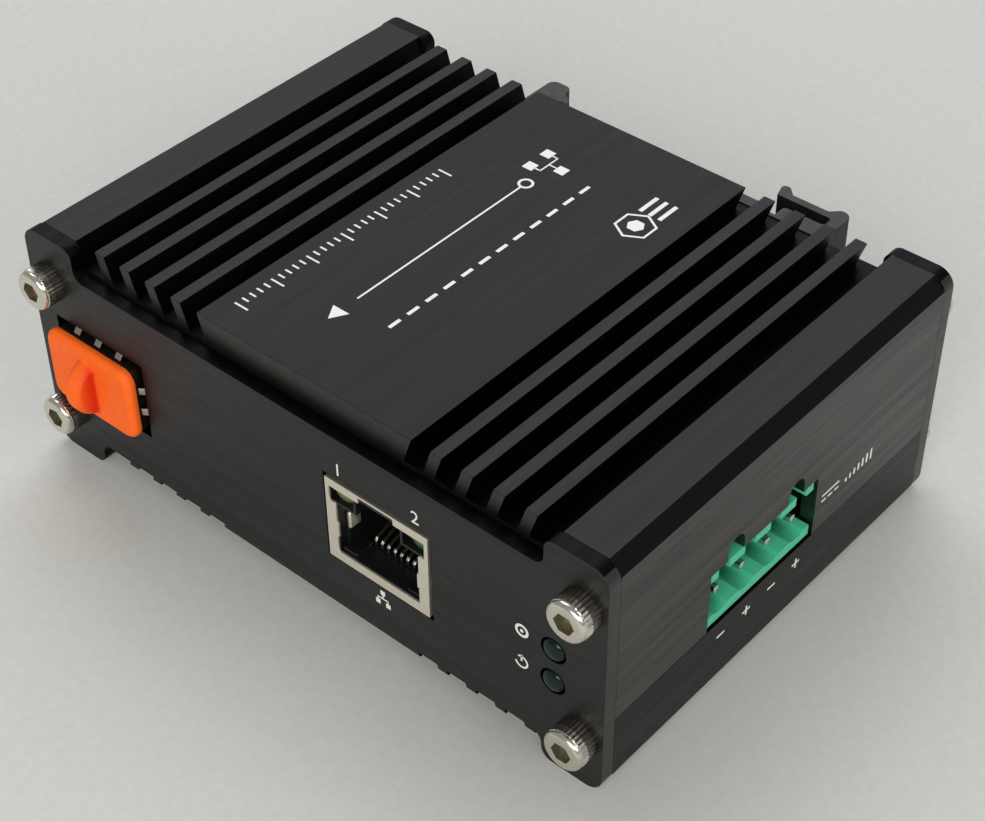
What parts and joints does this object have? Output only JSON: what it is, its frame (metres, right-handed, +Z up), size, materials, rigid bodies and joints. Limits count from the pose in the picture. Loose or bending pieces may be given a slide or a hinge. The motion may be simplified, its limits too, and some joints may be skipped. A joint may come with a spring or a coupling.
{
  "type": "fibre media converter",
  "caption": "Fibre to copper network media converter in a finned black aluminium case with end plates, dust plug, network jack, power terminal and rail clip.",
  "frame": {"origin": "centre of the lower land, half way between the two end plates", "axes": "+X along the front plate to the power terminal, +Y from the front plate to the rear plate, +Z up"},
  "size_m": [0.0934, 0.0788, 0.0354],
  "materials": {
    "case_black": "black anodised, brushed walls",
    "plate_black": "black anodised, fine brushed along the plate",
    "screw_steel": "plain stainless",
    "board_laminate": "solder resist over glass laminate",
    "nickel_sheet": "nickel plated sheet",
    "connector_black": "moulded",
    "orange_rubber": "soft moulded, matt",
    "gold_contact": "gold flash",
    "amber_light": "tinted, unlit",
    "green_light": "tinted, unlit",
    "status_green": "dark tinted, unlit",
    "terminal_green": "moulded nylon",
    "tin_pin": "tin plated",
    "clip_black": "moulded nylon",
    "package_black": "moulded epoxy",
    "ferrite_grey": "pressed ferrite",
    "capacitor_sleeve": "shrunk sleeve"
  },
  "bodies": {
    "housing": {"upper_case": "case_black", "lower_case": "case_black", "front_plate": "plate_black", "rear_plate": "plate_black", "front_screws": "screw_steel", "rear_screws": "screw_steel", "circuit_board": "board_laminate", "sfp_cage": "nickel_sheet", "sfp_emi_springs": "nickel_sheet", "sfp_host_connector": "connector_black", "rj45_shield": "nickel_sheet", "rj45_insert": "connector_black", "rj45_contacts": "gold_contact", "rj45_left_light": "amber_light", "rj45_right_light": "green_light", "lower_status_light": "status_green", "upper_status_light": "status_green", "status_light_holder": "connector_black", "terminal_header": "terminal_green", "terminal_pins": "tin_pin", "din_clip": "clip_black", "din_clip_screws": "screw_steel", "converter_chip": "package_black", "magnetics_module": "package_black", "power_transformer": "ferrite_grey", "power_inductor": "ferrite_grey", "input_capacitors": "capacitor_sleeve"},
    "dust_plug": {"dust_plug": "orange_rubber"}
  },
  "joints": [
    {"name": "dust_plug_pull", "type": "slide", "parent": "housing", "child": "dust_plug", "axis": [0, -1, 0], "range_m": [0, 0.02]}
  ]
}
